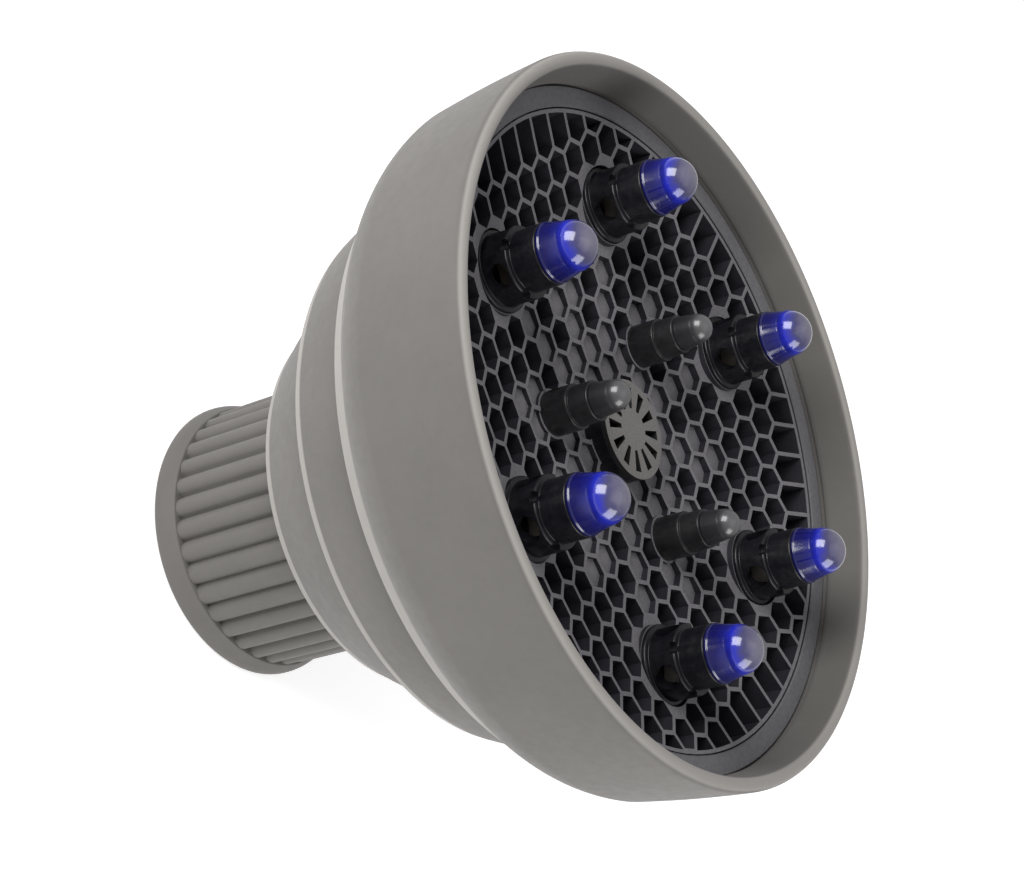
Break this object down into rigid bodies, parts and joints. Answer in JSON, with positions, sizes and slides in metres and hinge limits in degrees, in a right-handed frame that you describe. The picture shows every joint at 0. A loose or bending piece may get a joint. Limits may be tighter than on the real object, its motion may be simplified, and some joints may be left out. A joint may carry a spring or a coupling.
{
  "type": "collapsible hair dryer diffuser",
  "caption": "Collapsible silicone hair dryer diffuser: a fluted neck, three telescoping stepped shells and a dished honeycomb grille with hollow drilled prongs.",
  "frame": {"origin": "centre of the neck's rear face, the lowest point of the standing diffuser", "axes": "+Z along the air flow, from the neck towards the prongs; +X towards one tall prong; drawn fully open"},
  "size_m": [0.1556, 0.1556, 0.1304],
  "materials": {
    "silicone": "matte warm grey moulded silicone",
    "grille_plastic": "fine-textured dark grey moulded plastic",
    "hub_plastic": "satin black plastic",
    "prong_plastic": "satin black plastic",
    "tip_blue": "translucent blue with a frosted crown",
    "tip_dark": "semi-gloss dark grey"
  },
  "bodies": {
    "neck": {"neck_sleeve": "silicone"},
    "rear_stage": {"rear_shell": "silicone", "fold_web_rear": "silicone"},
    "middle_stage": {"middle_shell": "silicone", "fold_web_middle": "silicone"},
    "head": {"front_shell": "silicone", "fold_web_front": "silicone", "honeycomb_panel": "grille_plastic", "retaining_ring": "grille_plastic", "centre_hub": "hub_plastic", "vent_cap": "hub_plastic", "prong_1": "prong_plastic", "prong_tip_1": "tip_blue", "prong_2": "prong_plastic", "prong_tip_2": "tip_blue", "prong_3": "prong_plastic", "prong_tip_3": "tip_blue", "prong_4": "prong_plastic", "prong_tip_4": "tip_blue", "prong_5": "prong_plastic", "prong_tip_5": "tip_blue", "prong_6": "prong_plastic", "prong_tip_6": "tip_blue", "inner_prong_1": "prong_plastic", "inner_prong_tip_1": "tip_dark", "inner_prong_2": "prong_plastic", "inner_prong_tip_2": "tip_dark", "inner_prong_3": "prong_plastic", "inner_prong_tip_3": "tip_dark"}
  },
  "joints": [
    {"name": "fold_rear", "type": "slide", "parent": "neck", "child": "rear_stage", "axis": [0, 0, -1], "range_m": [0, 0.018]},
    {"name": "fold_middle", "type": "slide", "parent": "rear_stage", "child": "middle_stage", "axis": [0, 0, -1], "range_m": [0, 0.017]},
    {"name": "fold_front", "type": "slide", "parent": "middle_stage", "child": "head", "axis": [0, 0, -1], "range_m": [0, 0.016]}
  ]
}
